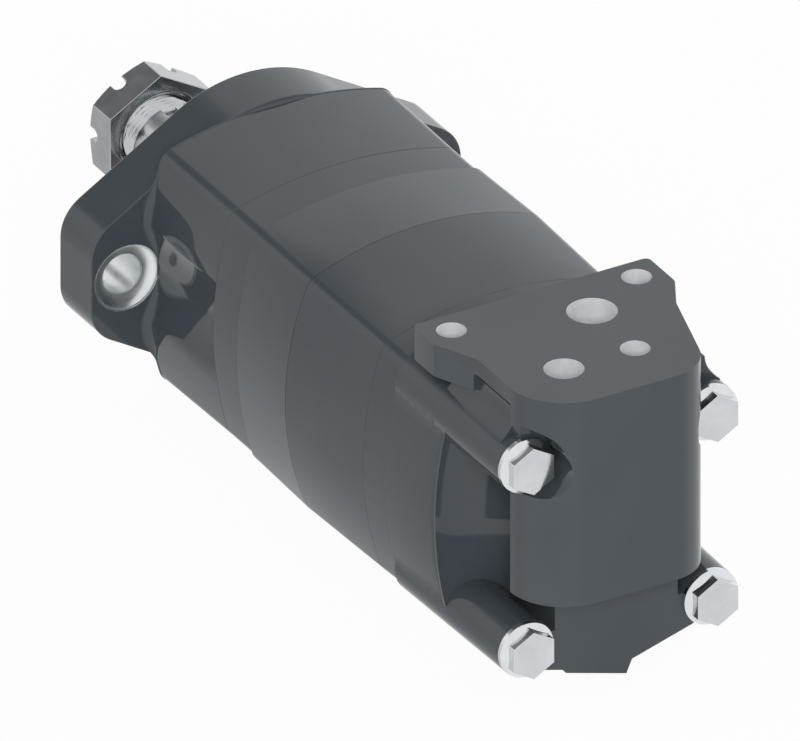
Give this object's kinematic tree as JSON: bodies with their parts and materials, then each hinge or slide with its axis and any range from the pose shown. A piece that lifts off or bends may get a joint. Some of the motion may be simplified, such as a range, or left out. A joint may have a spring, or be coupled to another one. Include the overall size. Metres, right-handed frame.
{
  "type": "orbital hydraulic motor",
  "caption": "Low-speed orbital hydraulic motor with a two-bolt flange, tapered shaft with slotted nut, square bulged body and a rear manifold pad.",
  "frame": {"origin": "centre of the flange's front mounting face, on the shaft's axis", "axes": "+Y along the shaft, out of the mounting face; +Z towards the port pad; X across, through the two flange holes"},
  "size_m": [0.1314, 0.3096, 0.1102],
  "materials": {
    "painted_casting": "grey enamel over cast iron, satin",
    "zinc_bolts": "bright zinc plate",
    "machined_steel": "turned steel, bright",
    "bearing_steel": "ground bearing steel",
    "ground_steel": "ground and hardened steel",
    "spring_steel": "blued spring steel",
    "bronze": "lapped bearing bronze",
    "nitrile_rubber": "moulded nitrile, matt"
  },
  "bodies": {
    "casing": {"front_housing": "painted_casting", "wear_plate": "painted_casting", "geroler_ring": "painted_casting", "channel_plate": "painted_casting", "valve_plate": "painted_casting", "valve_housing": "painted_casting", "tie_bolts": "zinc_bolts", "body_seals": "nitrile_rubber", "dust_seal": "nitrile_rubber", "shaft_seal": "nitrile_rubber", "seal_snap_ring": "spring_steel", "front_bearing_cup": "bearing_steel", "rear_bearing_cup": "bearing_steel", "balance_ring": "bronze", "balance_seals": "nitrile_rubber", "balance_spring": "spring_steel"},
    "shaft": {"output_shaft": "machined_steel", "shaft_key": "machined_steel", "slotted_nut": "machined_steel", "front_bearing_cone": "bearing_steel", "rear_bearing_cone": "bearing_steel"},
    "front_roller_set": {"front_bearing_rollers": "bearing_steel", "front_bearing_cage": "spring_steel"},
    "rear_roller_set": {"rear_bearing_rollers": "bearing_steel", "rear_bearing_cage": "spring_steel"},
    "orbit_carrier": {"drive_spacer": "ground_steel"},
    "rotor": {"rotor": "ground_steel"},
    "drive_link": {"drive_link": "ground_steel"},
    "valve_drive": {"valve_drive": "ground_steel"},
    "disc_valve": {"disc_valve": "bronze"},
    "roller_1": {"roller_1": "ground_steel"},
    "roller_2": {"roller_2": "ground_steel"},
    "roller_3": {"roller_3": "ground_steel"},
    "roller_4": {"roller_4": "ground_steel"},
    "roller_5": {"roller_5": "ground_steel"},
    "roller_6": {"roller_6": "ground_steel"},
    "roller_7": {"roller_7": "ground_steel"}
  },
  "joints": [
    {"name": "shaft_spin", "type": "hinge", "parent": "casing", "child": "shaft", "pos_m": [0, 0, 0], "axis": [0, 1, 0], "continuous": true},
    {"name": "front_cage_spin", "type": "hinge", "parent": "casing", "child": "front_roller_set", "pos_m": [0, -0.022, 0], "axis": [0, 1, 0], "continuous": true},
    {"name": "rear_cage_spin", "type": "hinge", "parent": "casing", "child": "rear_roller_set", "pos_m": [0, -0.047, 0], "axis": [0, 1, 0], "continuous": true},
    {"name": "orbit", "type": "hinge", "parent": "casing", "child": "orbit_carrier", "pos_m": [0, -0.098, 0], "axis": [0, 1, 0], "continuous": true},
    {"name": "rotor_spin", "type": "hinge", "parent": "orbit_carrier", "child": "rotor", "pos_m": [0.003, -0.0931, 0], "axis": [0, 1, 0], "continuous": true},
    {"name": "link_spin", "type": "hinge", "parent": "orbit_carrier", "child": "drive_link", "pos_m": [0, -0.0375, 0], "axis": [-0.057, 0.9984, 0], "continuous": true},
    {"name": "valve_drive_spin", "type": "hinge", "parent": "orbit_carrier", "child": "valve_drive", "pos_m": [0, -0.1771, 0], "axis": [0.0416, 0.9991, 0], "continuous": true},
    {"name": "disc_valve_spin", "type": "hinge", "parent": "casing", "child": "disc_valve", "pos_m": [0, -0.1761, 0], "axis": [0, 1, 0], "continuous": true},
    {"name": "roller_1_spin", "type": "hinge", "parent": "casing", "child": "roller_1", "pos_m": [0.0315, -0.0931, 0], "axis": [0, 1, 0], "continuous": true},
    {"name": "roller_2_spin", "type": "hinge", "parent": "casing", "child": "roller_2", "pos_m": [0.01964, -0.0931, 0.02463], "axis": [0, 1, 0], "continuous": true},
    {"name": "roller_3_spin", "type": "hinge", "parent": "casing", "child": "roller_3", "pos_m": [-0.00701, -0.0931, 0.03071], "axis": [0, 1, 0], "continuous": true},
    {"name": "roller_4_spin", "type": "hinge", "parent": "casing", "child": "roller_4", "pos_m": [-0.02838, -0.0931, 0.01367], "axis": [0, 1, 0], "continuous": true},
    {"name": "roller_5_spin", "type": "hinge", "parent": "casing", "child": "roller_5", "pos_m": [-0.02838, -0.0931, -0.01367], "axis": [0, 1, 0], "continuous": true},
    {"name": "roller_6_spin", "type": "hinge", "parent": "casing", "child": "roller_6", "pos_m": [-0.00701, -0.0931, -0.03071], "axis": [0, 1, 0], "continuous": true},
    {"name": "roller_7_spin", "type": "hinge", "parent": "casing", "child": "roller_7", "pos_m": [0.01964, -0.0931, -0.02463], "axis": [0, 1, 0], "continuous": true}
  ],
  "couplings": [
    {"joint": "front_cage_spin", "follows": "shaft_spin", "ratio": 0.432},
    {"joint": "rear_cage_spin", "follows": "shaft_spin", "ratio": 0.432},
    {"joint": "orbit", "follows": "shaft_spin", "ratio": -6},
    {"joint": "rotor_spin", "follows": "shaft_spin", "ratio": 7},
    {"joint": "link_spin", "follows": "shaft_spin", "ratio": 7},
    {"joint": "valve_drive_spin", "follows": "shaft_spin", "ratio": 7},
    {"joint": "disc_valve_spin", "follows": "shaft_spin", "ratio": 1},
    {"joint": "roller_1_spin", "follows": "shaft_spin", "ratio": -4.5166},
    {"joint": "roller_2_spin", "follows": "shaft_spin", "ratio": -4.5166},
    {"joint": "roller_3_spin", "follows": "shaft_spin", "ratio": -4.5166},
    {"joint": "roller_4_spin", "follows": "shaft_spin", "ratio": -4.5166},
    {"joint": "roller_5_spin", "follows": "shaft_spin", "ratio": -4.5166},
    {"joint": "roller_6_spin", "follows": "shaft_spin", "ratio": -4.5166},
    {"joint": "roller_7_spin", "follows": "shaft_spin", "ratio": -4.5166}
  ]
}
